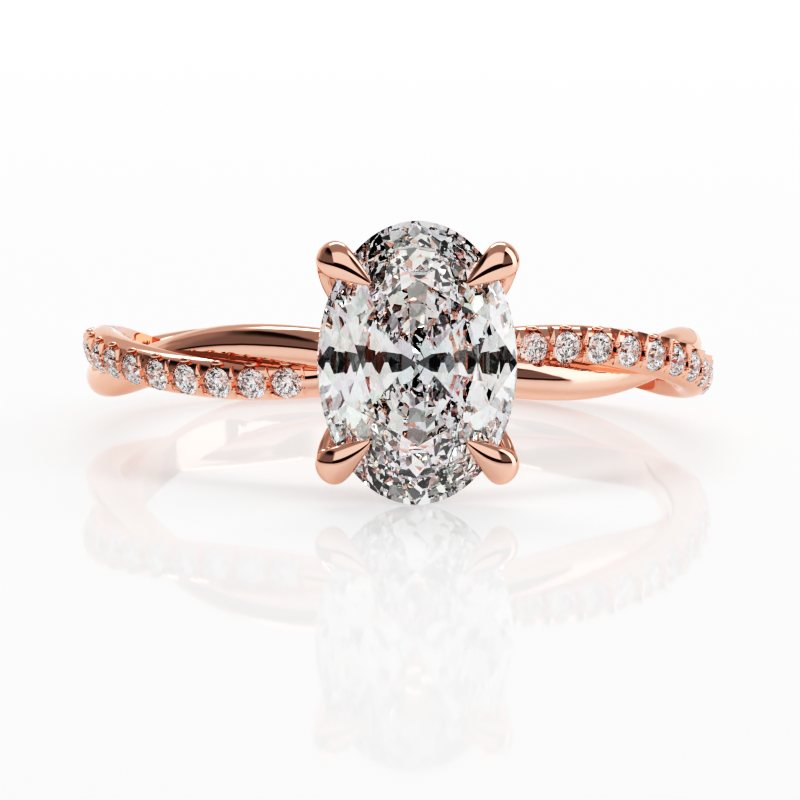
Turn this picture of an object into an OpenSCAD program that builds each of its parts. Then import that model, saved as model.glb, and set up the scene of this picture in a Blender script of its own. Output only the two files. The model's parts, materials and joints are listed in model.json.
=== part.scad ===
// Twisted band ring with an oval stone in four pointed claws and a row of small round stones on each side.
// It lies on its side, on the lower end of the oval stone and the back of the band.
// The ring is drawn with the finger axis along Z and the setting towards -Y, and is then laid down.

/* [Band] */
// Inner diameter of the finger hole
finger_d = 17.3; // [16.5:0.1:18.5]
// Thickness of each round strand
strand_d = 1.32; // [1.24:0.02:1.44]
// Height of the twisted band, measured along the finger
band_h = 2.4; // [2.3:0.05:2.45]
// Distance of the strands' middle line outside the wall of the finger hole
strand_lift = 0.74; // [0.68:0.02:0.76]

/* [Oval stone] */
// Width of the oval stone, across the finger
stone_w = 6; // [5.8:0.1:6.1]
// Length of the oval stone, along the finger
stone_l = 8.5; // [8.2:0.1:8.7]
// Width of the table, as a share of the stone's width
table_share = 0.58; // [0.54:0.01:0.62]
// Height of the crown, from the girdle up to the table
crown_h = 0.88; // [0.8:0.02:0.94]
// Thickness of the girdle
girdle_h = 0.12; // [0.08:0.02:0.16]
// Depth of the pavilion, from the girdle down to the point
pavilion_h = 2.55; // [2.3:0.05:2.55]
// Height of the girdle's upper edge over the wall of the finger hole
girdle_lift = 4.7; // [4.7:0.05:4.9]

/* [Small stones] */
// Number of small stones on each side of the setting
accents = 11; // [6:1:12]
// Diameter of each small stone
accent_d = 1; // [0.9:0.02:1]
// Height of the crown of each small stone
accent_crown_h = 0.18; // [0.14:0.01:0.2]
// Thickness of the girdle of each small stone
accent_girdle_h = 0.03; // [0.02:0.01:0.05]
// Depth of the pavilion of each small stone
accent_pavilion_h = 0.43; // [0.38:0.01:0.43]
// Height of the girdle of each small stone over the middle of its strand
accent_lift = 0.47; // [0.44:0.01:0.54]
// Angle from the setting to the first small stone
accent_first = 23.2; // [22:0.2:26]
// Angle from one small stone to the next
accent_step = 6.5; // [6.5:0.1:7.5]
// Angle by which the small stones on the left face down from level
left_roll = 18; // [0:1:20]
// Angle by which the small stones on the right face down from level
right_roll = 8; // [0:1:20]
// Clear gap between a small stone and the metal round it
accent_gap = 0.03; // [0.02:0.01:0.03]

/* [Setting] */
// Distance of a claw's tip from the stone's middle, across the finger
tip_x = 1.42; // [1.38:0.01:1.46]
// Distance of a claw's tip from the stone's middle, along the finger
tip_z = 2.32; // [2.28:0.01:2.36]
// Angle of each claw to the line across the finger
claw_angle = 35; // [33:0.5:37]
// Widest part of each claw
claw_w = 1.12; // [1:0.02:1.2]
// Thickness of the gallery rail under the oval stone
rail_d = 0.62; // [0.5:0.02:0.7]
// Depth of the gallery rail under the girdle
rail_drop = 1.75; // [1.6:0.05:1.9]
// Half length of the gallery rail across the finger
rail_x = 2.05; // [2:0.01:2.1]
// Half length of the gallery rail along the finger
rail_z = 2.64; // [2.6:0.01:2.7]

/* [Hidden] */
metal_colour = [0.86, 0.58, 0.46];
stone_colour = [0.93, 0.95, 0.97];

// Full turns that the two strands make on their way round the ring
turns = 3;

// Cross-sections round the band, and points on each of them
band_rings = 120;
band_sides = 20;
claw_sides = 12;
rail_rings = 40;
rail_sides = 10;
// Points round the girdle of the oval stone and of a small stone
girdle_sides = 32;
accent_sides = 16;
// How far a cutter runs past the metal
past = 1;

strand_r = strand_d / 2;
// Distance of each strand's middle from the middle line between the two
twist_r = (band_h - strand_d) / 2;
ring_r = finger_d / 2 + strand_lift;
// Distance from the finger axis to the upper edge of the oval stone's girdle
girdle_r = finger_d / 2 + girdle_lift;

// The lowest lobe of the band's back: its angle from the setting, and its strand's middle there
rest_angle = 159;
rest_r = ring_r - twist_r * cos(turns * rest_angle);
rest_z = twist_r * sin(turns * rest_angle);
// The ring leans until that lobe and the end of the oval stone touch the surface together
lean_y = girdle_r - girdle_h - rest_r * cos(rest_angle);
lean_z = stone_l / 2 - rest_z;
lean = atan2(lean_z, lean_y) - asin(strand_r / norm([lean_y, lean_z]));
// Height of the ring's middle over the surface, and the shift that centres the ring front to back
middle_z = stone_l / 2 * cos(lean) - (girdle_r - girdle_h) * sin(lean);
front_reach = (girdle_r + crown_h) * cos(lean) + table_share * stone_l / 2 * sin(lean);
back_reach = (ring_r + twist_r) * cos(lean) + strand_r;
middle_y = (front_reach - back_reach) / 2;

// Sections of a stem, from the band up to the girdle. Each is an ellipse level with the girdle.
// Columns: place across the finger, place along the finger, height over the girdle,
// half length along the claw's line, half width
stem_sections = [
    [0.50, 0.20, -3.45, 0.42, 0.36],
    [0.95, 0.62, -2.80, 0.46, 0.37],
    [1.58, 1.25, -1.95, 0.48, 0.38],
    [2.16, 1.95, -1.15, 0.46, 0.41],
    [2.50, 2.55, -0.55, 0.43, 0.46]
];
// Sections of a claw, from the girdle up and over the crown to the tip. Each is an ellipse across two lines,
// one on the claw's underside and one on its top.
// Columns: underside's distance out from the tip and height over the girdle, the same for the top,
// width as a share of the claw's
claw_sections = [
    [1.02, -0.15, 1.84, -0.15, 0.90],
    [1.02,  0.03, 1.87,  0.18, 0.97],
    [0.99,  0.10, 1.72,  0.56, 1.00],
    [0.91,  0.15, 1.35,  0.80, 0.94],
    [0.66,  0.27, 0.88,  0.84, 0.73],
    [0.36,  0.43, 0.48,  0.80, 0.48],
    [0.12,  0.57, 0.18,  0.75, 0.25],
    [0.00,  0.66, 0.02,  0.71, 0.07]
];

left_nodes = [for (i = [1:accents]) str("accent_left_", i)];
right_nodes = [for (i = [1:accents]) str("accent_right_", i)];

// A point at an angle from the setting, a distance from the finger axis and a height along it.
// Positive angles run towards -X.
function on_ring(angle, r, z) = [-r * sin(angle), -r * cos(angle), z];

// The set strand's middle at an angle from the setting: its distance from the finger axis and its height
function set_strand_r(angle) = ring_r - twist_r * cos(turns * angle);
function set_strand_z(angle) = -twist_r * sin(turns * angle);

// Outline of the two merged strands round their middle line, as a distance in the direction that is off by
// an angle from the line through both middles
function pair_outline(off) = twist_r * abs(cos(off)) + sqrt(pow(strand_r, 2) - pow(twist_r * sin(off), 2));

// A point on the setting, from its place across and along the finger and its height over the girdle
function over_stone(x, z, up) = [x, -girdle_r - up, z];

// An ellipse of points round a middle, from its two half axes as vectors
function ellipse(middle, half_a, half_b, sides) =
    [for (k = [0:sides - 1]) middle + cos(360 * k / sides) * half_a + sin(360 * k / sides) * half_b];

// A level circle or oval of points, as a share of a stone's half width and half length.
// The first point is turned by a part of the step between points.
function level_ring(half, share, z, sides, turn = 0) = [
    for (k = [0:sides - 1])
        let (angle = 360 * (k + turn) / sides) [half.x * share * cos(angle), half.y * share * sin(angle), z]
];

// Triangles between neighbouring rings of points, each with the same number of points
function side_faces(rings, sides, closed) = [
    for (i = [0:rings - (closed ? 1 : 2)], k = [0:sides - 1])
        let (j = (i + 1) % rings, m = (k + 1) % sides)
            each [[i * sides + k, j * sides + k, j * sides + m], [i * sides + k, j * sides + m, i * sides + m]]
];

// A solid through rings of points, either closed on itself or with a flat face at each end
module skin(rings, closed = false) {
    sides = len(rings[0]);
    last = (len(rings) - 1) * sides;
    ends = [[for (k = [0:sides - 1]) k], [for (k = [sides - 1:-1:0]) last + k]];
    polyhedron([for (ring = rings) each ring], concat(side_faces(len(rings), sides, closed), closed ? [] : ends));
}

// Both strands round the whole ring
module strands() {
    skin(closed = true, rings = [
        for (i = [0:band_rings - 1])
            let (angle = 360 * i / band_rings) [
                for (k = [0:band_sides - 1])
                    let (off = 360 * k / band_sides, out = pair_outline(off), turned = turns * angle + off)
                        on_ring(angle, ring_r - out * cos(turned), -out * sin(turned))
            ]
    ]);
}

// One stem with its claw, in the quarter of the setting towards +X and +Z
module claw() {
    along = [cos(claw_angle), 0, sin(claw_angle)];
    across = [-sin(claw_angle), 0, cos(claw_angle)];
    tip = over_stone(tip_x, tip_z, 0);
    stem = [
        for (s = stem_sections)
            ellipse(over_stone(s[0], s[1], s[2]), s[3] * along, s[4] * across, claw_sides)
    ];
    head = [
        for (s = claw_sections)
            let (under = tip + s[0] * along - [0, s[1], 0], top = tip + s[2] * along - [0, s[3], 0])
                ellipse((under + top) / 2, (top - under) / 2, claw_w / 2 * s[4] * across, claw_sides)
    ];
    skin(concat(stem, head));
}

// The oval rail under the stone that joins the four stems
module gallery_rail() {
    skin(closed = true, rings = [
        for (i = [0:rail_rings - 1])
            let (
                angle = 360 * i / rail_rings,
                out = [rail_z * cos(angle), 0, rail_x * sin(angle)],
                middle = over_stone(rail_x * cos(angle), rail_z * sin(angle), -rail_drop)
            ) ellipse(middle, rail_d / 2 * out / norm(out), [0, rail_d / 2, 0], rail_sides)
    ]);
}

// Puts its children at a small stone's place: Z points the way the stone faces, from the strand's middle
module at_accent(side, index) {
    angle = side * (accent_first + accent_step * (index - 1));
    roll = side > 0 ? left_roll : right_roll;
    translate(on_ring(angle, set_strand_r(angle), set_strand_z(angle)))
        rotate([90 + roll, 0, -angle])
            children();
}

// Cutter for the seat of one small stone
module accent_seat() {
    wide = accent_d / 2 + accent_gap;
    ledge = accent_lift - accent_girdle_h - accent_gap;
    translate([0, 0, ledge])
        cylinder(r = wide, h = past);
    translate([0, 0, ledge - accent_pavilion_h])
        cylinder(r1 = 2 * accent_gap, r2 = wide, h = accent_pavilion_h);
}

// Brilliant cut: a table, eight kites with stars and halves between them, a girdle, and eight pavilion mains
// with halves. Z = 0 is the upper edge of the girdle.
module brilliant(half, crown, girdle, pavilion, sides) {
    star_share = 0.77;
    half_share = 0.25;
    corner = cos(360 / 16);
    star_z = crown * (1 - star_share * corner) / (1 - table_share);
    low_z = -girdle - pavilion * (1 - half_share * corner);
    corners = concat(
        level_ring(half, table_share, crown, 8),
        level_ring(half, star_share, star_z, 8, 0.5),
        level_ring(half, 1, 0, sides),
        level_ring(half, 1, -girdle, sides),
        level_ring(half, half_share, low_z, 8, 0.5),
        [[0, 0, -girdle - pavilion]]
    );
    hull()
        polyhedron(corners, [[for (i = [0:len(corners) - 1]) i]]);
}

// Lays the ring on its side, as it rests by itself
module laid_down() {
    translate([0, middle_y, middle_z])
        rotate([-lean, 0, 0])
            children();
}

module band_and_setting() {
    color(metal_colour)
        laid_down()
            difference() {
                union() {
                    strands();
                    gallery_rail();
                    for (x = [0, 1], z = [0, 1])
                        mirror([x, 0, 0])
                            mirror([0, 0, z])
                                claw();
                }
                translate([0, 0, -band_h])
                    cylinder(d = finger_d, h = 2 * band_h, $fn = 96);
                for (side = [-1, 1], index = [1:accents])
                    at_accent(side, index)
                        accent_seat($fn = 32);
            }
}

module centre_stone() {
    color(stone_colour)
        laid_down()
            translate([0, -girdle_r, 0])
                rotate([90, 0, 0])
                    brilliant([stone_w / 2, stone_l / 2], crown_h, girdle_h, pavilion_h, girdle_sides);
}

module accent_stone(side, index) {
    half = [accent_d / 2, accent_d / 2];
    color(stone_colour)
        laid_down()
            at_accent(side, index)
                translate([0, 0, accent_lift])
                    brilliant(half, accent_crown_h, accent_girdle_h, accent_pavilion_h, accent_sides);
}

band_and_setting();
centre_stone();
for (index = [1:accents]) {
    accent_stone(1, index);
    accent_stone(-1, index);
}
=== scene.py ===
"""Looks of a ring with a twisted band, an oval stone in four pointed claws, and small stones on both sides.

Every piece is modelled with the finger axis along Z and the setting towards -Y, and is then laid down on its
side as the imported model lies.
"""

import json
import logging
import math
from dataclasses import dataclass, field
from enum import Enum
from typing import Callable, Iterable, Optional, Sequence, Union

import bpy
from mathutils import Matrix, Vector


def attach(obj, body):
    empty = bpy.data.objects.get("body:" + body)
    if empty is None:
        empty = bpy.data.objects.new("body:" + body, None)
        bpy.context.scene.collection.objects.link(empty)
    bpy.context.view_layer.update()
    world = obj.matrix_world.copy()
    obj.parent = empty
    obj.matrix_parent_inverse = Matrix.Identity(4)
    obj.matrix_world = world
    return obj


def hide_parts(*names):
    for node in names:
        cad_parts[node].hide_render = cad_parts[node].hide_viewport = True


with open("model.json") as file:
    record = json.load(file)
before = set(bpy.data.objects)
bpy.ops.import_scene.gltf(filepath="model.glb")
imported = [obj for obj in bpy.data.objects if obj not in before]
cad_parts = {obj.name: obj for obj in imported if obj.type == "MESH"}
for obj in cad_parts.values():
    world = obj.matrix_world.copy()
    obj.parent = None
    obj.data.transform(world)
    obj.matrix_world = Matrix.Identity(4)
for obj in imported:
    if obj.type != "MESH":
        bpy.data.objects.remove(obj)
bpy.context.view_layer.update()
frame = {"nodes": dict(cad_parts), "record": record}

log = logging.getLogger("ring")
MM = 0.001
BODY = "root"

Value = Union[float, "Wire"]
Colour = tuple[float, float, float]
WHITE: Colour = (1.0, 1.0, 1.0)


class Slot(Enum):
    """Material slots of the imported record."""

    GOLD = "rose_gold"
    STONE = "clear_stone"


class Side(Enum):
    """The two rows of small stones, by the sign of their angle from the setting."""

    LEFT = 1
    RIGHT = -1


# Shader maths


@dataclass
class Wire:
    """An output socket of a shader node, with the arithmetic that the finishes use."""

    sheet: "NodeSheet"
    socket: bpy.types.NodeSocket

    def _math(self, operation: str, *values: Value) -> "Wire":
        """Adds a Math node."""
        return self.sheet.node("ShaderNodeMath", {"operation": operation}, dict(enumerate(values)))

    def __add__(self, other: Value) -> "Wire":
        """Sum."""
        return self._math("ADD", self, other)

    __radd__ = __add__

    def __sub__(self, other: Value) -> "Wire":
        """Difference."""
        return self._math("SUBTRACT", self, other)

    def __rsub__(self, other: Value) -> "Wire":
        """Difference, with this value taken away."""
        return self._math("SUBTRACT", other, self)

    def __mul__(self, other: Value) -> "Wire":
        """Product."""
        return self._math("MULTIPLY", self, other)

    __rmul__ = __mul__

    def __neg__(self) -> "Wire":
        """The value with its sign changed."""
        return self * -1.0

    def __abs__(self) -> "Wire":
        """The value without its sign."""
        return self._math("ABSOLUTE", self)

    def step(self, low: float, high: float) -> "Wire":
        """A smooth step from 0 at low to 1 at high.

        Args:
            low: Where the step starts.
            high: Where it ends.

        Returns:
            The step.
        """
        return self.sheet.node(
            "ShaderNodeMapRange",
            {"interpolation_type": "SMOOTHSTEP"},
            {"Value": self, "From Min": low, "From Max": high},
        )


class NodeSheet:
    """The node tree of one material or world."""

    def __init__(self, owner: Union[bpy.types.Material, bpy.types.World]) -> None:
        """Starts an empty tree.

        Args:
            owner: The material or world that holds the tree.
        """
        owner.use_nodes = True
        self.tree = owner.node_tree
        self.tree.nodes.clear()

    def node(
        self,
        kind: str,
        settings: dict[str, object],
        inputs: dict[Union[str, int], object],
        output: Union[str, int] = 0,
    ) -> Wire:
        """Adds a node.

        Args:
            kind: The node's type.
            settings: Its own settings, which are set first.
            inputs: Values or links of its sockets, by name or place.
            output: The output to hand on.

        Returns:
            That output.
        """
        made = self.tree.nodes.new(kind)
        for name, value in settings.items():
            setattr(made, name, value)
        for name, value in inputs.items():
            if isinstance(value, Wire):
                self.tree.links.new(value.socket, made.inputs[name])
            else:
                made.inputs[name].default_value = value
        return Wire(self, made.outputs[output] if made.outputs else None)

    def place(self) -> Wire:
        """The point of the surface, in the ring's own coordinates, in metres."""
        return self.node("ShaderNodeTexCoord", {}, {}, "Object")

    def noise(self, scale: float, detail: float) -> Wire:
        """Noise over the surface.

        Args:
            scale: Waves in a metre.
            detail: Finer layers on top of it.

        Returns:
            The noise, about 0.5 on average.
        """
        inputs = {"Vector": self.place(), "Scale": scale, "Detail": detail}
        return self.node("ShaderNodeTexNoise", {}, inputs, "Fac")

    def blend(self, share: Value, low: Colour, high: Union[Colour, Wire]) -> Wire:
        """A colour between two colours.

        Args:
            share: 0 for the first and 1 for the second.
            low: The first colour.
            high: The second colour, or the output that gives it.

        Returns:
            The colour.
        """
        # The node's sockets for colours: 6 and 7 take them, and output 2 gives the blend
        second = high if isinstance(high, Wire) else (*high, 1.0)
        return self.node("ShaderNodeMix", {"data_type": "RGBA"}, {0: share, 6: (*low, 1.0), 7: second}, 2)


@dataclass(frozen=True)
class Finish:
    """A finish of one material slot."""

    name: str
    slot: Slot

    def surface(self, sheet: NodeSheet) -> Wire:
        """Adds the shader, which each finish has its own way of doing."""
        raise NotImplementedError

    def material(self) -> bpy.types.Material:
        """The material with this finish.

        Returns:
            A new material, or the one that was made before.
        """
        made = bpy.data.materials.get(self.name)
        if made is None:
            made = bpy.data.materials.new(self.name)
            sheet = NodeSheet(made)
            sheet.node("ShaderNodeOutputMaterial", {}, {"Surface": self.surface(sheet)})
        return made

    def dress(self, piece: bpy.types.Object) -> None:
        """Gives a piece this finish alone.

        Args:
            piece: The piece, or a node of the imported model.
        """
        if not piece.material_slots:
            piece.data.materials.append(None)
        for place in piece.material_slots:
            place.link = "OBJECT"
            place.material = self.material()


@dataclass(frozen=True)
class PolishedGold(Finish):
    """Rose gold with a high polish: faint waves from the polishing wheel, and hairline scratches."""

    colour: Colour = (0.94, 0.585, 0.475)
    deep_colour: Colour = (0.91, 0.545, 0.435)
    edge_colour: Colour = (0.96, 0.80, 0.73)
    gloss: float = 0.045
    clearest: float = 0.02
    scratch: float = 0.05
    scratch_scale: float = 2600.0
    tone_scale: float = 420.0
    wave: float = 0.25 * MM
    wave_share: float = 0.10
    wave_scale: float = 900.0

    def surface(self, sheet: NodeSheet) -> Wire:
        """Adds a metal whose colour and gloss vary a little.

        Args:
            sheet: The material's nodes.

        Returns:
            The shader.
        """
        tone = sheet.noise(self.tone_scale, detail=2.0)
        scratches = sheet.noise(self.scratch_scale, detail=4.0)
        height = sheet.noise(self.wave_scale, detail=1.0)
        waves = sheet.node(
            "ShaderNodeBump", {}, {"Strength": self.wave_share, "Distance": self.wave, "Height": height}
        )
        return sheet.node(
            "ShaderNodeBsdfPrincipled",
            {},
            {
                "Base Color": sheet.blend(tone, self.deep_colour, self.colour),
                "Metallic": 1.0,
                "Specular Tint": (*self.edge_colour, 1.0),
                "Roughness": scratches * self.scratch + (self.gloss - self.clearest),
                "Normal": waves,
            },
        )


@dataclass(frozen=True)
class CutStone(Finish):
    """A clear stone that bends light strongly, with painted fire: coloured flashes of split light, painted as
    a trace of colour that changes from place to place.
    """

    # The painted fire: cells of coloured flashes of split light painted into the stone's colour. The first
    # number is how many cells there are in a metre, and the second is how strongly they colour the stone.
    fire_cells: float = 900.0
    painted_fire: float = 0.06
    bending: float = 2.42

    def surface(self, sheet: NodeSheet) -> Wire:
        """Adds a clear stone with painted fire.

        Args:
            sheet: The material's nodes.

        Returns:
            The shader.
        """
        inputs = {"Vector": sheet.place(), "Scale": self.fire_cells}
        fire_cells = sheet.node("ShaderNodeTexVoronoi", {}, inputs, "Color")
        return sheet.node(
            "ShaderNodeBsdfPrincipled",
            {},
            {
                # Painted fire: coloured flashes of split light painted into the base colour, cell by cell
                "Base Color": sheet.blend(self.painted_fire, WHITE, fire_cells),
                "Roughness": 0.0,
                "IOR": self.bending,
                "Transmission Weight": 1.0,
            },
        )


@dataclass(frozen=True)
class Tabletop(Finish):
    """The glossy white surface that the ring lies on."""

    colour: Colour = (0.90, 0.90, 0.90)
    deep_colour: Colour = (0.86, 0.86, 0.86)
    tone_scale: float = 6.0
    gloss: float = 0.04
    shine: float = 0.05
    glow: float = 0.24

    def surface(self, sheet: NodeSheet) -> Wire:
        """Adds a white gloss.

        Args:
            sheet: The material's nodes.

        Returns:
            The shader.
        """
        tone = sheet.noise(self.tone_scale, detail=2.0)
        return sheet.node(
            "ShaderNodeBsdfPrincipled",
            {},
            {
                "Base Color": sheet.blend(tone, self.deep_colour, self.colour),
                "Roughness": self.gloss,
                "Specular IOR Level": self.shine,
                "Emission Color": (*WHITE, 1.0),
                "Emission Strength": self.glow,
            },
        )


GOLD = PolishedGold("polished_rose_gold", Slot.GOLD)
SATIN_GOLD = PolishedGold("satin_rose_gold", Slot.GOLD, gloss=0.18)
# Both kinds of stone carry painted fire, each with its own cell size and strength
SMALL_CUT = CutStone("small_clear_stone", Slot.STONE, fire_cells=2600.0, painted_fire=0.05)
OVAL_CUT = CutStone("oval_clear_stone", Slot.STONE, fire_cells=1500.0, painted_fire=0.15)
TABLETOP = Tabletop("white_tabletop", Slot.GOLD)


# Modelling steps


def from_columns(columns: Sequence[Vector], scale: float = 1.0) -> Matrix:
    """A matrix from its three axes and its place.

    Args:
        columns: The axes and the place.
        scale: Factor for them all.

    Returns:
        The matrix.
    """
    rows = [tuple(column[row] * scale for column in columns) for row in range(3)]
    return Matrix(rows + [(0.0, 0.0, 0.0, 1.0)])


def activate(*pieces: bpy.types.Object) -> None:
    """Selects these pieces alone, the first of them active.

    Args:
        pieces: The pieces.
    """
    bpy.ops.object.select_all(action="DESELECT")
    for piece in pieces:
        piece.select_set(True)
    bpy.context.view_layer.objects.active = pieces[0]


def added(operator: Callable[..., set[str]], name: str, **settings: object) -> bpy.types.Object:
    """Adds a primitive with no other piece selected.

    Args:
        operator: The operator that adds it.
        name: The new piece's name.
        settings: The operator's settings.

    Returns:
        The new piece.
    """
    bpy.ops.object.select_all(action="DESELECT")
    operator(**settings)
    piece = bpy.context.view_layer.objects.active
    piece.name = name
    piece.data.name = name
    return piece


def set_places(piece: bpy.types.Object, place: Matrix = Matrix.Identity(4)) -> None:
    """Moves a piece by a matrix and then keeps its place in its mesh.

    Args:
        piece: The piece.
        place: The move, on top of where it is.
    """
    piece.matrix_world = place @ piece.matrix_world
    activate(piece)
    bpy.ops.object.transform_apply(location=True, rotation=True, scale=True)


def modify(piece: bpy.types.Object, kind: str, **settings: object) -> None:
    """Adds a modifier and applies it.

    Args:
        piece: The piece.
        kind: The modifier's type.
        settings: The modifier's settings.
    """
    activate(piece)
    bpy.ops.object.modifier_add(type=kind)
    modifier = piece.modifiers[-1]
    for name, value in settings.items():
        setattr(modifier, name, value)
    bpy.ops.object.modifier_apply(modifier=modifier.name)


def boolean(piece: bpy.types.Object, other: bpy.types.Object, operation: str) -> None:
    """Cuts or adds one closed shape by another, which is used up.

    Args:
        piece: The piece that changes.
        other: The shape that cuts or is added.
        operation: UNION, DIFFERENCE or INTERSECT.
    """
    modify(piece, "BOOLEAN", object=other, operation=operation, solver="MANIFOLD")
    bpy.data.objects.remove(other)


def copied(piece: bpy.types.Object, place: Matrix) -> bpy.types.Object:
    """A copy with its own mesh, moved by a matrix.

    Args:
        piece: The piece to copy.
        place: The move.

    Returns:
        The copy.
    """
    activate(piece)
    bpy.ops.object.duplicate(linked=False)
    copy = bpy.context.view_layer.objects.active
    set_places(copy, place)
    return copy


def joined(pieces: Sequence[bpy.types.Object], name: str) -> bpy.types.Object:
    """Makes one piece of several.

    Args:
        pieces: The pieces.
        name: The whole's name.

    Returns:
        The whole.
    """
    activate(*pieces)
    bpy.ops.object.join()
    pieces[0].name = name
    pieces[0].data.name = name
    return pieces[0]


def pick(piece: bpy.types.Object, indices: Iterable[int]) -> None:
    """Opens a piece in edit mode with these vertices selected.

    Args:
        piece: The piece.
        indices: The vertices' numbers.
    """
    activate(piece)
    bpy.ops.object.mode_set(mode="EDIT")
    bpy.ops.mesh.select_mode(type="VERT")
    bpy.ops.mesh.select_all(action="DESELECT")
    bpy.ops.object.mode_set(mode="OBJECT")
    for index in indices:
        piece.data.vertices[index].select = True
    bpy.ops.object.mode_set(mode="EDIT")


def tidy(piece: bpy.types.Object, merge: float = 1e-7) -> None:
    """Merges doubled points and turns every face outwards.

    Args:
        piece: The piece.
        merge: Points nearer than this become one.
    """
    activate(piece)
    bpy.ops.object.mode_set(mode="EDIT")
    bpy.ops.mesh.select_all(action="SELECT")
    bpy.ops.mesh.remove_doubles(threshold=merge)
    bpy.ops.mesh.normals_make_consistent(inside=False)
    bpy.ops.object.mode_set(mode="OBJECT")


def smooth(piece: bpy.types.Object, crease: float = 35.0) -> None:
    """Shades a piece smoothly up to a crease.

    Args:
        piece: The piece.
        crease: The least angle of a crease, in degrees.
    """
    activate(piece)
    bpy.ops.object.shade_smooth_by_angle(angle=math.radians(crease))


@dataclass
class Loft:
    """A closed form through ellipses, with a flat end on the first and the last."""

    name: str
    sides: int
    body: bpy.types.Object = None
    count: int = 0

    @property
    def fullness(self) -> float:
        """How much larger a ring's points lie than the smooth curve that subdivision makes of them."""
        return 3.0 / (2.0 + math.cos(2.0 * math.pi / self.sides))

    def section(self, middle: Vector, half_a: Vector, half_b: Vector) -> None:
        """Adds an ellipse and joins it to the one before.

        Args:
            middle: The ellipse's middle.
            half_a: One half axis.
            half_b: The other.
        """
        ring = added(
            bpy.ops.mesh.primitive_circle_add, self.name, vertices=self.sides, radius=1.0, fill_type="NOTHING"
        )
        normal = half_a.cross(half_b).normalized() * half_a.length
        ring.data.transform(from_columns((half_a * self.fullness, half_b * self.fullness, normal, middle)))
        self.count += 1
        if self.body is None:
            self.body = ring
            return
        self.body = joined([self.body, ring], self.name)
        pick(self.body, range((self.count - 2) * self.sides, self.count * self.sides))
        bpy.ops.mesh.bridge_edge_loops()
        bpy.ops.object.mode_set(mode="OBJECT")

    def closed(self, levels: int) -> bpy.types.Object:
        """Closes both ends and rounds the form.

        Args:
            levels: Levels of subdivision.

        Returns:
            The finished form.
        """
        for first in (0, (self.count - 1) * self.sides):
            pick(self.body, range(first, first + self.sides))
            bpy.ops.mesh.edge_face_add()
            bpy.ops.object.mode_set(mode="OBJECT")
        tidy(self.body)
        modify(self.body, "SUBSURF", levels=levels, render_levels=levels)
        return self.body


# The ring


@dataclass
class RingPlace:
    """Where the ring lies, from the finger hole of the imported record."""

    middle: Vector
    lean: float

    @classmethod
    def from_record(cls, record: dict) -> "RingPlace":
        """Reads the finger hole.

        Args:
            record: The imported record.

        Returns:
            The place.
        """
        hole = next(m for m in record["mounts"] if m["name"] == "finger_hole")
        axis = Vector(hole["axis"])
        return cls(Vector(hole["pos_m"]), math.atan2(axis.y, axis.z))

    def lay_down(self, piece: bpy.types.Object) -> None:
        """Moves a piece from the upright finger axis to where the ring lies.

        Args:
            piece: The piece.
        """
        set_places(piece, Matrix.Translation(self.middle) @ Matrix.Rotation(-self.lean, 4, "X"))


@dataclass
class Band:
    """Sizes of the twisted band, in metres, and the two strands' course round the finger."""

    finger_r: float = 8.65 * MM
    strand_r: float = 0.645 * MM
    height: float = 2.37 * MM
    lift: float = 0.74 * MM
    turns: int = 3
    rings: int = 360
    sides: int = 44
    seam: float = 2e-6

    @property
    def ring_r(self) -> float:
        """Distance of the strands' middle line from the finger axis."""
        return self.finger_r + self.lift

    @property
    def twist_r(self) -> float:
        """Distance of each strand's middle from that line."""
        return self.height / 2 - self.strand_r

    def set_strand(self, angle: float) -> Vector:
        """The set strand's middle.

        Args:
            angle: Angle from the setting, in radians, positive towards -X.

        Returns:
            The point, with the finger axis along Z.
        """
        out = self.ring_r - self.twist_r * math.cos(self.turns * angle)
        up = -self.twist_r * math.sin(self.turns * angle)
        return Vector((-out * math.sin(angle), -out * math.cos(angle), up))

    def strand(self, name: str, phase: float) -> bpy.types.Object:
        """One strand: a circle wound along a straight line, which is then bent into the ring.

        Args:
            name: The strand's name.
            phase: Where the strand is at the setting: 0 on the finger's side and pi on the outside.

        Returns:
            The closed strand.
        """
        length = 2.0 * math.pi * self.ring_r
        start = phase - self.turns * math.pi
        strand = added(
            bpy.ops.mesh.primitive_circle_add,
            name,
            vertices=self.sides,
            radius=self.strand_r,
            fill_type="NOTHING",
            location=(-length / 2, self.twist_r * math.cos(start), self.twist_r * math.sin(start)),
            rotation=(0.0, math.pi / 2, 0.0),
        )
        set_places(strand)
        modify(
            strand,
            "SCREW",
            axis="X",
            angle=2.0 * math.pi * self.turns,
            screw_offset=length,
            steps=self.rings,
            render_steps=self.rings,
            use_merge_vertices=False,
        )
        modify(strand, "SIMPLE_DEFORM", deform_method="BEND", deform_axis="Z", angle=2.0 * math.pi)
        set_places(strand, Matrix.Translation((0.0, -self.ring_r, 0.0)))
        tidy(strand, merge=self.seam)
        return strand


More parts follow.
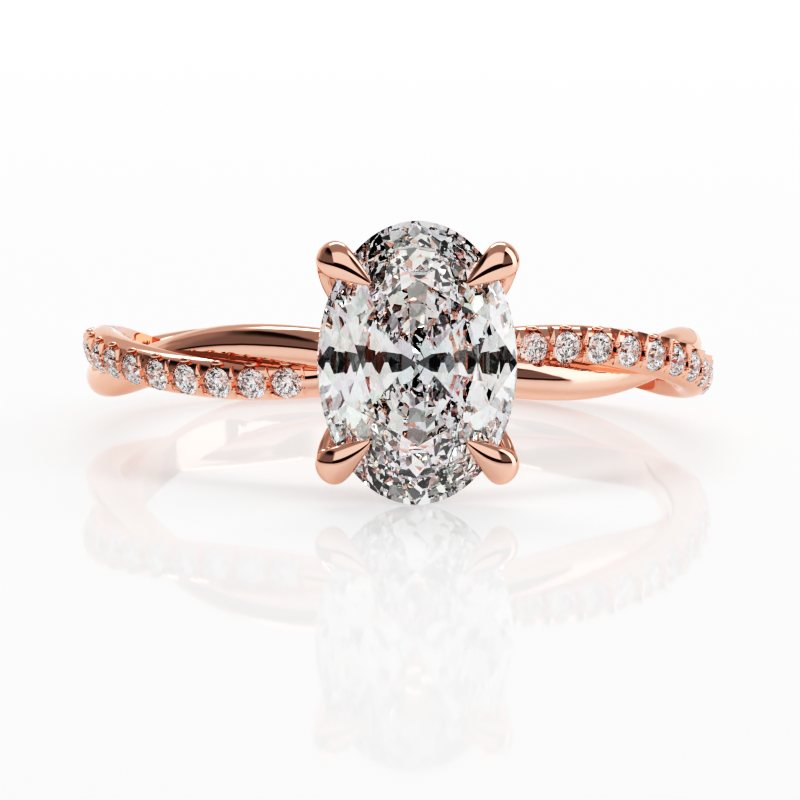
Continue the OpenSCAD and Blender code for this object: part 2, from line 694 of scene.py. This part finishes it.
@dataclass
class SmallStones:
    """The rows of small stones: their sizes in metres, and their places on the set strand."""

    band: Band
    count: int = 11
    stone_r: float = 0.5 * MM
    gap: float = 0.01 * MM
    girdle: float = 0.03 * MM
    # Depth of the seat's cone, a little more than the stone's pavilion
    pavilion: float = 0.44 * MM
    cone_share: float = 0.99
    cone_overlap: float = 0.01 * MM
    seat_sides: int = 40
    lift: float = 0.47 * MM
    first: float = math.radians(23.2)
    step: float = math.radians(6.5)
    rolls: dict[Side, float] = field(
        default_factory=lambda: {Side.LEFT: math.radians(18.0), Side.RIGHT: math.radians(8.0)}
    )
    above: float = 1.0 * MM
    bead_r: float = 0.10 * MM
    bead_rise: float = 0.17 * MM
    bead_out: float = 0.56 * MM
    channel: tuple[float, float, float] = (1.16 * MM, 0.58 * MM, 0.55 * MM)
    window: tuple[float, float, float] = (0.28 * MM, 0.28 * MM, 0.28 * MM)
    window_place: Vector = field(default_factory=lambda: Vector((0.0, 0.47, 0.58)) * MM)
    spike_depth: float = 0.45
    spike_bevel: float = 0.012 * MM
    lip: tuple[float, float, float] = (0.25 * MM, 0.09 * MM, 0.12 * MM)
    lip_place: Vector = field(default_factory=lambda: Vector((0.0, 0.60, 0.33)) * MM)
    # Columns: half width, then height over the stones' middle line and distance from the strand's: base, tip
    spikes: dict[Side, tuple[tuple[float, ...], ...]] = field(
        default_factory=lambda: {
            Side.LEFT: ((0.12, 0.14, 0.60, 0.58, 0.565), (0.07, -0.24, 0.60, -0.50, 0.50)),
            Side.RIGHT: ((0.12, 0.16, 0.60, 0.64, 0.63), (0.07, -0.24, 0.60, -0.50, 0.50)),
        }
    )

    def place(self, side: Side, index: float) -> Matrix:
        """The frame of a stone: Z the way that it faces, Y up, from the strand's middle.

        Args:
            side: The row.
            index: The stone, from 0, or a half between two stones.

        Returns:
            The frame.
        """
        angle = side.value * (self.first + self.step * index)
        turn = Matrix.Rotation(-angle, 4, "Z") @ Matrix.Rotation(math.pi / 2 + self.rolls[side], 4, "X")
        return Matrix.Translation(self.band.set_strand(angle)) @ turn

    def seat_cutter(self) -> bpy.types.Object:
        """The space of one seat: a round wall down to the ledge, a cone, a window and a shallow channel.

        Returns:
            The cutter, in the stone's frame.
        """
        wide = self.stone_r + self.gap
        ledge = self.lift - self.girdle - self.gap
        wall = added(
            bpy.ops.mesh.primitive_cylinder_add,
            "seat_wall",
            vertices=self.seat_sides,
            radius=wide,
            depth=self.above,
            location=(0.0, 0.0, ledge + self.above / 2),
        )
        cone = added(
            bpy.ops.mesh.primitive_cone_add,
            "seat_cone",
            vertices=self.seat_sides,
            radius1=2 * self.gap,
            radius2=wide * self.cone_share,
            depth=self.pavilion,
            location=(0.0, 0.0, ledge - self.pavilion / 2 + self.cone_overlap),
        )
        window = added(bpy.ops.mesh.primitive_ico_sphere_add, "seat_window", subdivisions=2, radius=1.0)
        window.data.transform(Matrix.Translation(self.window_place) @ Matrix.Diagonal((*self.window, 1.0)))
        length, width, bottom = self.channel
        middle = (0.0, 0.0, bottom + self.above / 2)
        channel = added(bpy.ops.mesh.primitive_cube_add, "stone_channel", size=1.0, location=middle)
        channel.scale = (length, width, self.above)
        for part in (wall, cone, channel):
            set_places(part)
        boolean(wall, channel, "UNION")
        boolean(wall, cone, "UNION")
        boolean(wall, window, "UNION")
        return wall

    def cutters(self, parity: int) -> bpy.types.Object:
        """Every other seat's space.

        Args:
            parity: 0 for the even seats and 1 for the odd, so that none of them cross.

        Returns:
            One cutter.
        """
        model = self.seat_cutter()
        places = [self.place(side, index) for side in Side for index in range(parity, self.count, 2)]
        copies = [copied(model, place) for place in places]
        bpy.data.objects.remove(model)
        return joined(copies, "seats")

    def repeated(
        self, models: Sequence[bpy.types.Object], name: str, first: float, sides: Iterable[Side] = Side
    ) -> bpy.types.Object:
        """Copies models along both rows and uses them up.

        Args:
            models: The models, in the frame of a stone or of a gap between stones.
            name: The whole's name.
            first: -0.5 to stand before each stone and 0 to follow the stones.
            sides: The rows.

        Returns:
            One piece.
        """
        model = joined(models, name)
        places = [self.place(side, index + first) for side in sides for index in range(self.count)]
        copies = [copied(model, place) for place in places]
        bpy.data.objects.remove(model)
        return joined(copies, name)

    def beads(self) -> bpy.types.Object:
        """The two beads in each gap between stones.

        Returns:
            One piece.
        """
        pair = [
            added(
                bpy.ops.mesh.primitive_uv_sphere_add,
                "bead",
                segments=16,
                ring_count=10,
                radius=self.bead_r,
                location=(0.0, way * self.bead_rise, self.bead_out),
            )
            for way in (1, -1)
        ]
        for bead in pair:
            set_places(bead)
        return self.repeated(pair, "stone_beads", -0.5)

    def lips(self) -> bpy.types.Object:
        """The rounded upper edge of each seat's window.

        Returns:
            One piece.
        """
        ball = bpy.ops.mesh.primitive_uv_sphere_add
        lip = added(ball, "window_lip", segments=24, ring_count=12, radius=1.0)
        set_places(lip, Matrix.Translation(self.lip_place) @ Matrix.Diagonal((*self.lip, 1.0)))
        return self.repeated([lip], "window_lips", 0)

    def spike(
        self, half: float, base: float, base_out: float, tip: float, tip_out: float
    ) -> bpy.types.Object:
        """One tapered spike, in millimetres.

        Args:
            half: Half width of the base.
            base: Height of the base over the stones' middle line.
            base_out: Distance of the base from the strand's middle.
            tip: Height of the tip.
            tip_out: Distance of the tip.

        Returns:
            The spike, in the frame half-way between two stones.
        """
        foot, point = Vector((0.0, base, base_out)), Vector((0.0, tip, tip_out))
        across = Vector((math.copysign(1.0, tip - base), 0.0, 0.0))
        deep = across.cross((point - foot).normalized()) * self.spike_depth
        # A three-sided cylinder of radius 1 has its tip at 1, its base at -0.5 and a half width of 0.866
        columns = (across * half / 0.866, (point - foot) / 1.5, deep, foot + (point - foot) / 3 - deep / 2)
        spike = added(bpy.ops.mesh.primitive_cylinder_add, "spike", vertices=3, radius=1.0, depth=1.0)
        set_places(spike, from_columns(columns, scale=MM))
        tidy(spike)
        modify(spike, "BEVEL", width=self.spike_bevel, segments=2, limit_method="ANGLE")
        return spike

    def all_spikes(self) -> bpy.types.Object:
        """The spikes over and under the beads.

        Returns:
            One piece.
        """
        rows = [
            self.repeated([self.spike(*sizes) for sizes in pair], "stone_spikes", -0.5, (side,))
            for side, pair in self.spikes.items()
        ]
        return joined(rows, "stone_spikes")


@dataclass
class Setting:
    """The oval stone's place and its four claws, in metres."""

    girdle_r: float = 13.35 * MM
    tip_x: float = 1.42 * MM
    tip_z: float = 2.32 * MM
    claw_angle: float = math.radians(35.0)
    claw_w: float = 1.12 * MM
    rail_d: float = 0.62 * MM
    rail_drop: float = 1.75 * MM
    rail_x: float = 2.05 * MM
    rail_z: float = 2.64 * MM
    # Columns: place across the finger, place along it, height over the girdle, half length, half width
    stem: tuple[tuple[float, ...], ...] = (
        (0.50, 0.20, -3.45, 0.42, 0.36),
        (0.95, 0.62, -2.80, 0.46, 0.37),
        (1.58, 1.25, -1.95, 0.48, 0.38),
        (2.16, 1.95, -1.15, 0.46, 0.41),
        (2.50, 2.55, -0.55, 0.43, 0.46),
    )
    # Columns: underside's distance out from the tip and height over the girdle, the same for the top,
    # share of the claw's width
    head: tuple[tuple[float, ...], ...] = (
        (1.02, -0.15, 1.84, -0.15, 0.90),
        (1.02, 0.03, 1.87, 0.18, 0.97),
        (0.99, 0.10, 1.72, 0.56, 1.00),
        (0.91, 0.15, 1.35, 0.80, 0.94),
        (0.66, 0.27, 0.88, 0.84, 0.73),
        (0.36, 0.43, 0.48, 0.80, 0.48),
        (0.12, 0.57, 0.18, 0.75, 0.25),
        (0.00, 0.66, 0.02, 0.71, 0.07),
    )

    def over_stone(self, x: float, z: float, up: float) -> Vector:
        """A point from its place across and along the finger and its height over the girdle."""
        return Vector((x, -self.girdle_r - up, z))

    def claw(self, x_sign: int, z_sign: int) -> bpy.types.Object:
        """One stem with its claw.

        Args:
            x_sign: 1 towards +X and -1 towards -X.
            z_sign: 1 towards +Z and -1 towards -Z.

        Returns:
            The claw.
        """
        along = Vector((x_sign * math.cos(self.claw_angle), 0.0, z_sign * math.sin(self.claw_angle)))
        across = Vector((-along.z, 0.0, along.x))
        tip = self.over_stone(x_sign * self.tip_x, z_sign * self.tip_z, 0.0)
        lifted = Vector((0.0, -1.0, 0.0))
        name = f"claw_{'right' if x_sign > 0 else 'left'}_{'upper' if z_sign > 0 else 'lower'}"
        loft = Loft(name, sides=12)
        for x, z, up, half_length, half_width in self.stem:
            middle = self.over_stone(x_sign * x * MM, z_sign * z * MM, up * MM)
            loft.section(middle, half_length * MM * along, half_width * MM * across)
        for low_out, low_up, top_out, top_up, share in self.head:
            under = tip + MM * (low_out * along + low_up * lifted)
            top = tip + MM * (top_out * along + top_up * lifted)
            loft.section((under + top) / 2, (top - under) / 2, self.claw_w / 2 * share * across)
        return loft.closed(levels=3)

    def rail(self) -> bpy.types.Object:
        """The oval gallery rail under the stone.

        Returns:
            The rail.
        """
        middle = self.over_stone(0.0, 0.0, -self.rail_drop)
        mean = (self.rail_x + self.rail_z) / 2
        rail = added(
            bpy.ops.mesh.primitive_torus_add,
            "gallery_rail",
            major_segments=96,
            minor_segments=24,
            major_radius=mean,
            minor_radius=self.rail_d / 2,
            location=middle,
            rotation=(math.pi / 2, 0.0, 0.0),
        )
        set_places(rail)
        activate(rail)
        bpy.ops.object.mode_set(mode="EDIT")
        bpy.ops.mesh.select_all(action="SELECT")
        bpy.ops.transform.resize(value=(self.rail_x / mean, 1.0, self.rail_z / mean), center_override=middle)
        bpy.ops.object.mode_set(mode="OBJECT")
        return rail


@dataclass(frozen=True)
class Tier:
    """A row of equal facets, each through two points of its middle line: share of the radius, and height."""

    count: int
    turn: float
    outer: tuple[float, float]
    inner: tuple[float, float]


@dataclass
class OvalStone:
    """The oval brilliant, in millimetres, which is cut as a round stone and then stretched."""

    half_width: float = 2.995
    half_length: float = 4.245
    table: float = 0.58
    crown: float = 0.88
    girdle: float = 0.12
    pavilion: float = 2.55
    star: float = 0.77
    sides: int = 64
    # A point inside, which tells the two sides of a cut apart
    heart: float = -0.2
    fringe: tuple[float, float] = (0.90, 0.245)
    tiers: tuple[Tier, ...] = (
        Tier(48, 0.5, (1.0, -0.12), (0.93, -0.38)),
        Tier(32, 0.0, (0.93, -0.38), (0.82, -0.74)),
        Tier(24, 0.5, (0.82, -0.74), (0.66, -1.19)),
        Tier(16, 0.0, (0.66, -1.19), (0.40, -1.83)),
        Tier(8, 0.5, (0.44, -1.74), (0.10, -2.49)),
        Tier(8, 0.0, (0.35, -1.93), (0.0, -2.67)),
    )

    def point(self, share: float, turn: float, height: float) -> Vector:
        """A point of the round stone.

        Args:
            share: Distance from the axis, as a share of the girdle's.
            turn: Angle round the axis, in eighths of a turn.
            height: Height over the upper edge of the girdle.

        Returns:
            The point.
        """
        angle = turn * math.pi / 4
        out = share * self.half_width
        return Vector((out * math.cos(angle), out * math.sin(angle), height))

    def cut(self, blank: bpy.types.Object, a: Vector, b: Vector, c: Vector) -> None:
        """Grinds one facet through three points, on the side away from the stone's middle.

        Args:
            blank: The stone.
            a: One point of the facet.
            b: Another point.
            c: Another point.
        """
        normal = (b - a).cross(c - a).normalized()
        inside = Vector((0.0, 0.0, self.heart))
        if normal.dot(a - inside) < 0:
            normal = -normal
        activate(blank)
        bpy.ops.object.mode_set(mode="EDIT")
        bpy.ops.mesh.select_all(action="SELECT")
        bpy.ops.mesh.bisect(plane_co=a, plane_no=normal, use_fill=True, clear_outer=True, threshold=1e-5)
        bpy.ops.object.mode_set(mode="OBJECT")

    def build(self) -> bpy.types.Object:
        """Cuts the stone and stretches it to its oval.

        Returns:
            The stone, with its table facing up.
        """
        depth = self.crown + self.girdle + self.pavilion
        blank = added(
            bpy.ops.mesh.primitive_cylinder_add,
            "oval_stone",
            vertices=self.sides,
            radius=self.half_width,
            depth=depth,
            location=(0.0, 0.0, self.crown - depth / 2),
        )
        set_places(blank)
        star_up = self.crown * (1 - self.star * math.cos(math.pi / 8)) / (1 - self.table)
        for k in range(8):
            here, after = self.point(self.table, k, self.crown), self.point(self.table, k + 1, self.crown)
            star, before = self.point(self.star, k + 0.5, star_up), self.point(self.star, k - 0.5, star_up)
            self.cut(blank, here, after, star)
            self.cut(blank, here, star, before)
            for side in (0, 1):
                self.cut(blank, star, self.point(1.0, k + side, 0.0), self.point(1.0, k + 0.5, 0.0))
                turn = k + 0.25 + side / 2
                edge, along = self.point(1.0, turn, 0.0), self.point(1.0, turn + 2.0, 0.0)
                self.cut(blank, edge, edge + along, self.point(self.fringe[0], turn, self.fringe[1]))
        for tier in self.tiers:
            for index in range(tier.count):
                turn = (index + tier.turn) * 8 / tier.count
                outer, inner = (self.point(share, turn, up) for share, up in (tier.outer, tier.inner))
                self.cut(blank, outer, inner, outer + self.point(1.0, turn + 2.0, 0.0))
        set_places(blank, Matrix.Diagonal((MM, MM * self.half_length / self.half_width, MM, 1.0)))
        return blank


@dataclass(frozen=True)
class Stretch:
    """A stretch of light with soft edges: where it begins and, if it ends, where."""

    light: float
    begin: tuple[float, float]
    end: Optional[tuple[float, float]] = None

    def over(self, way: Wire) -> Wire:
        """The light in each direction.

        Args:
            way: The measure of a direction that the edges are given in.

        Returns:
            The stretch's light inside and 0 outside.
        """
        inside = way.step(*self.begin)
        if self.end:
            inside = inside * (1.0 - way.step(*self.end))
        return inside * self.light


@dataclass(frozen=True)
class Room:
    """The light round the ring: a middle lane that runs overhead from front to back, and a side on each hand.

    Edges along the lane are tilts in degrees: 0 at the horizon behind the camera, 90 overhead and 180 at the
    horizon behind the ring. All others are shares of a direction: to the right, to the back or up.
    """

    side_edge: tuple[float, float] = (0.50, 0.60)
    # The middle lane, dark at the horizon behind the camera, with a strip light above the ring's back
    lane: float = 0.02
    lane_front: Stretch = Stretch(0.90, (10.0, 16.0))
    lane_top: Stretch = Stretch(-0.56, (58.0, 70.0))
    lane_back: Stretch = Stretch(0.20, (100.0, 140.0))
    strip: Stretch = Stretch(5.6, (121.0, 125.0), (132.0, 138.0))
    strip_ends: tuple[float, float] = (0.30, 0.42)
    # The sides, with a panel on the right
    beside: float = 0.03
    beside_top: Stretch = Stretch(0.27, (0.86, 0.96))
    beside_low: Stretch = Stretch(0.20, (0.06, 0.11), (0.50, 0.74))
    beside_back: Stretch = Stretch(0.10, (0.20, 0.50))
    panel: Stretch = Stretch(1.4, (-0.16, -0.10), (0.34, 0.40))
    panel_inner: tuple[float, float] = (0.50, 0.54)
    panel_top: tuple[float, float] = (0.80, 0.90)
    # A faint glow over the horizon behind the ring
    horizon: Stretch = Stretch(0.3, (0.0, 0.03), (0.27, 0.36))
    horizon_front: tuple[float, float] = (0.50, 0.70)

    def light(self, right: Wire, back: Wire, up: Wire) -> Wire:
        """The light of each direction.

        Args:
            right: The direction's share to the right.
            back: Its share to the back.
            up: Its share up.

        Returns:
            The light.
        """
        sheet = right.sheet
        tilt = sheet.node("ShaderNodeMath", {"operation": "ARCTAN2"}, {0: up, 1: -back}) * (180.0 / math.pi)
        lane = self.lane + self.lane_front.over(tilt) + self.lane_top.over(tilt) + self.lane_back.over(tilt)
        strip = self.strip.over(tilt) * (1.0 - abs(right).step(*self.strip_ends))
        panel = self.panel.over(back) * right.step(*self.panel_inner) * (1.0 - up.step(*self.panel_top))
        beside = self.beside + self.beside_top.over(up) + panel + self.beside_low.over(up)
        beside = beside + self.beside_back.over(back)
        horizon = self.horizon.over(up) * back.step(*self.horizon_front)
        return lane + (beside - lane) * abs(right).step(*self.side_edge) + strip + horizon


@dataclass
class Studio:
    """The surface, the room's light, the camera and how the picture is developed."""

    azimuth: float = math.radians(2.785)
    pitch: float = math.radians(8.568)
    roll: float = math.radians(0.55)
    distance: float = 162.96 * MM
    target: Vector = field(default_factory=lambda: Vector((0.648, 12.548, -0.489)) * MM)
    focal_px: float = 4645.3
    image_px: float = 800.0
    sensor: float = 36.0
    nearest: float = 1.0 * MM
    floor_size: float = 6.0
    floor_front: float = -0.056
    room: Room = Room()
    # Columns: level of light, and the level that it is shown at
    contrast: tuple[tuple[float, float], ...] = (
        (0.04, 0.008), (0.09, 0.036), (0.16, 0.10), (0.30, 0.30), (0.42, 0.48), (0.58, 0.68), (0.78, 0.87)
    )
    bounces: int = 32
    glossy_bounces: int = 13

    def camera(self) -> None:
        """Sets the camera at the photograph's angle."""
        ahead = Vector((
            math.sin(self.azimuth) * math.cos(self.pitch),
            math.cos(self.azimuth) * math.cos(self.pitch),
            -math.sin(self.pitch),
        ))
        right = Vector((math.cos(self.azimuth), -math.sin(self.azimuth), 0.0))
        up = right.cross(ahead)
        turned_right = math.cos(self.roll) * right + math.sin(self.roll) * up
        turned_up = turned_right.cross(ahead)
        place = self.target - self.distance * ahead
        bpy.ops.object.camera_add()
        camera = bpy.context.view_layer.objects.active
        camera.matrix_world = from_columns((turned_right, turned_up, -ahead, place))
        camera.data.sensor_width = self.sensor
        camera.data.lens = self.focal_px / self.image_px * self.sensor
        camera.data.clip_start = self.nearest
        bpy.context.scene.camera = camera

    def floor(self) -> None:
        """Adds the surface that the ring lies on."""
        floor = added(bpy.ops.mesh.primitive_plane_add, "tabletop", size=self.floor_size)
        floor.data.transform(Matrix.Translation((0.0, self.floor_size / 2 + self.floor_front, 0.0)))
        TABLETOP.dress(floor)

    def sky(self) -> None:
        """Surrounds the ring with the room's light."""
        world = bpy.data.worlds.new("room")
        bpy.context.scene.world = world
        sheet = NodeSheet(world)
        way = sheet.node("ShaderNodeTexCoord", {}, {}, "Generated")
        parts = sheet.node("ShaderNodeSeparateXYZ", {}, {"Vector": way}).socket.node.outputs
        light = self.room.light(*(Wire(sheet, parts[i]) for i in range(3)))
        back = sheet.node("ShaderNodeBackground", {}, {"Color": (*WHITE, 1.0), "Strength": light})
        sheet.node("ShaderNodeOutputWorld", {}, {"Surface": back})

    def exposure(self) -> None:
        """Sets plain colours with a crisp contrast, and enough bounces for clear stones."""
        scene = bpy.context.scene
        scene.view_settings.view_transform = "Standard"
        scene.view_settings.use_curve_mapping = True
        # The fourth curve is the one for all three colours together
        curve = scene.view_settings.curve_mapping.curves[3]
        for level, shown in self.contrast:
            curve.points.new(level, shown)
        scene.view_settings.curve_mapping.update()
        scene.cycles.max_bounces = self.bounces
        scene.cycles.transmission_bounces = self.bounces
        scene.cycles.glossy_bounces = self.glossy_bounces


def report(piece: bpy.types.Object) -> None:
    """Logs a finished piece.

    Args:
        piece: The piece.
    """
    log.info("%s: %d faces", piece.name, len(piece.data.polygons))


def finish(piece: bpy.types.Object, place: RingPlace, look: Finish, *nodes: str) -> None:
    """Lays a piece down, dresses it and lets it ride on the ring.

    Args:
        piece: The piece.
        place: Where the ring lies.
        look: The piece's finish.
        nodes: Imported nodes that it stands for.
    """
    place.lay_down(piece)
    look.dress(piece)
    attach(piece, BODY)
    if nodes:
        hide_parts(*nodes)
    report(piece)


def twisted_band(band: Band, stones: SmallStones) -> bpy.types.Object:
    """The two strands as one, with the seats cut and the finger hole trimmed.

    Args:
        band: The band's sizes.
        stones: The rows of small stones.

    Returns:
        The band.
    """
    strands = band.strand("twisted_band", 0.0)
    boolean(strands, band.strand("plain_strand", math.pi), "UNION")
    hole = added(
        bpy.ops.mesh.primitive_cylinder_add,
        "finger_hole_cutter",
        vertices=256,
        radius=band.finger_r,
        depth=2 * band.height,
    )
    boolean(strands, hole, "DIFFERENCE")
    for parity in (0, 1):
        boolean(strands, stones.cutters(parity), "DIFFERENCE")
    smooth(strands, crease=30.0)
    return strands


def main() -> None:
    """Builds the ring's pieces and the studio round them."""
    logging.basicConfig(level=logging.INFO, format="%(message)s")
    place = RingPlace.from_record(frame["record"])
    studio = Studio()
    studio.camera()
    studio.floor()
    studio.sky()
    studio.exposure()

    band = Band()
    stones = SmallStones(band)
    setting = Setting()
    finish(twisted_band(band, stones), place, GOLD, "band_and_setting")
    for small, look in (
        (stones.beads(), GOLD),
        (stones.lips(), SATIN_GOLD),
        (stones.all_spikes(), SATIN_GOLD),
    ):
        smooth(small, crease=25.0)
        finish(small, place, look)
    for x_sign in (-1, 1):
        for z_sign in (-1, 1):
            claw = setting.claw(x_sign, z_sign)
            smooth(claw, crease=60.0)
            finish(claw, place, GOLD)
    rail = setting.rail()
    smooth(rail, crease=60.0)
    finish(rail, place, GOLD)

    stone = OvalStone().build()
    faced_out = Matrix.Rotation(math.pi / 2, 4, "X")
    set_places(stone, Matrix.Translation((0.0, -setting.girdle_r, 0.0)) @ faced_out)
    finish(stone, place, OVAL_CUT, "centre_stone")
    for name, node in frame["nodes"].items():
        if name.startswith("accent_"):
            SMALL_CUT.dress(node)


if __name__ == "__main__":
    main()
